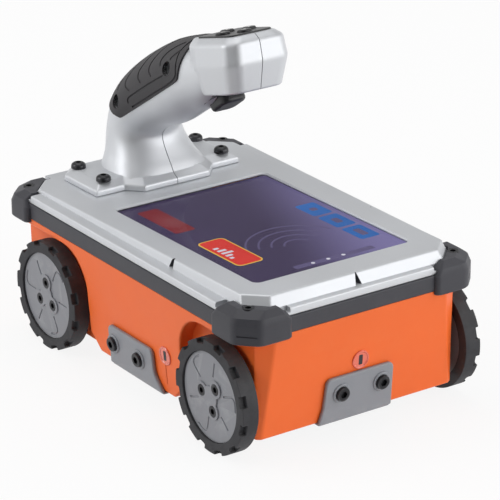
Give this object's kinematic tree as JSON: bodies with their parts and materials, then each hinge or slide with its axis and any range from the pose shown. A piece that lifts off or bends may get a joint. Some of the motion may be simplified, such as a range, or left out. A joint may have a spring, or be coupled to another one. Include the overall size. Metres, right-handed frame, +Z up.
{
  "type": "concrete scanning radar",
  "caption": "Handheld concrete-scanning radar on notched tyres, with a tilted screen deck, corner bumpers and a bent handle that carries a keypad and a trigger.",
  "frame": {"origin": "on the floor, under the middle of the bounding box", "axes": "+Z up, -Y forward (away from the operator), -X the operator's right"},
  "size_m": [0.1568, 0.2454, 0.1997],
  "materials": {
    "orange_housing": "moulded satin, fine texture",
    "charcoal_guard": "fine moulded texture",
    "silver_cover": "metallic silver paint, satin",
    "grip_rubber": "matt overmoulded rubber",
    "black_keypad": "satin",
    "screen_glass": "clear, bonded",
    "display": "lit display",
    "hub_grey": "satin",
    "tyre_rubber": "matt",
    "black_screws": "black oxide",
    "steel": "ground",
    "bush_bronze": "plain",
    "skid_grey": "satin wear plastic",
    "laser_lens": "translucent",
    "circuit_green": "solder mask",
    "inner_black": "moulded"
  },
  "bodies": {
    "scanner_body": {"lower_housing": "orange_housing", "bumper_rail": "charcoal_guard", "top_cover": "silver_cover", "screen_glass": "screen_glass", "lcd_panel": "display", "corner_bumper_front_left": "charcoal_guard", "corner_bumper_front_right": "charcoal_guard", "corner_bumper_rear_left": "charcoal_guard", "corner_bumper_rear_right": "charcoal_guard", "corner_bumper_screws": "black_screws", "handle_left_shell": "silver_cover", "handle_right_shell": "silver_cover", "handle_grip": "grip_rubber", "handle_clamp_screws": "black_screws", "handle_base_screws": "black_screws", "keypad_bezel": "black_keypad", "keypad_board": "circuit_green", "trigger_switch": "inner_black", "axle_bearings": "bush_bronze", "encoder_sensor": "inner_black", "antenna_module": "inner_black", "main_board": "circuit_green", "battery_pack": "inner_black", "door_hinge_pin": "steel", "skid_plate": "skid_grey", "skid_plate_screws": "black_screws", "laser_window_front": "laser_lens", "laser_window_left": "laser_lens", "laser_window_right": "laser_lens", "laser_modules": "inner_black"},
    "front_wheelset": {"front_axle": "steel", "front_left_hub": "hub_grey", "front_right_hub": "hub_grey", "front_left_tyre": "tyre_rubber", "front_right_tyre": "tyre_rubber", "front_hub_screws": "black_screws"},
    "rear_wheelset": {"rear_axle": "steel", "rear_left_hub": "hub_grey", "rear_right_hub": "hub_grey", "rear_left_tyre": "tyre_rubber", "rear_right_tyre": "tyre_rubber", "rear_hub_screws": "black_screws", "encoder_disc": "inner_black"},
    "trigger": {"trigger_button": "black_keypad"},
    "battery_door": {"battery_door": "orange_housing"},
    "key_front": {"key_front": "black_keypad"},
    "key_rear": {"key_rear": "black_keypad"},
    "key_left": {"key_left": "black_keypad"},
    "key_right": {"key_right": "black_keypad"}
  },
  "joints": [
    {"name": "front_wheels_roll", "type": "hinge", "parent": "scanner_body", "child": "front_wheelset", "pos_m": [0, -0.09, 0.0318], "axis": [1, 0, 0], "continuous": true},
    {"name": "rear_wheels_roll", "type": "hinge", "parent": "scanner_body", "child": "rear_wheelset", "pos_m": [0, 0.076, 0.0318], "axis": [1, 0, 0], "continuous": true},
    {"name": "trigger_pull", "type": "slide", "parent": "scanner_body", "child": "trigger", "axis": [0, 0.5764, 0.8171], "range_m": [0, 0.0022], "stiffness_N_per_m": 600, "springref_m": -0.002},
    {"name": "door_swing", "type": "hinge", "parent": "scanner_body", "child": "battery_door", "pos_m": [0, 0.11868, 0.04324], "axis": [-1, 0, 0], "range_deg": [0, 100]},
    {"name": "key_front_press", "type": "slide", "parent": "scanner_body", "child": "key_front", "axis": [0, -0.2672, -0.9636], "range_m": [0, 0.001], "stiffness_N_per_m": 400, "springref_m": -0.0005},
    {"name": "key_rear_press", "type": "slide", "parent": "scanner_body", "child": "key_rear", "axis": [0, -0.2672, -0.9636], "range_m": [0, 0.001], "stiffness_N_per_m": 400, "springref_m": -0.0005},
    {"name": "key_left_press", "type": "slide", "parent": "scanner_body", "child": "key_left", "axis": [0, -0.2672, -0.9636], "range_m": [0, 0.001], "stiffness_N_per_m": 400, "springref_m": -0.0005},
    {"name": "key_right_press", "type": "slide", "parent": "scanner_body", "child": "key_right", "axis": [0, -0.2672, -0.9636], "range_m": [0, 0.001], "stiffness_N_per_m": 400, "springref_m": -0.0005}
  ]
}
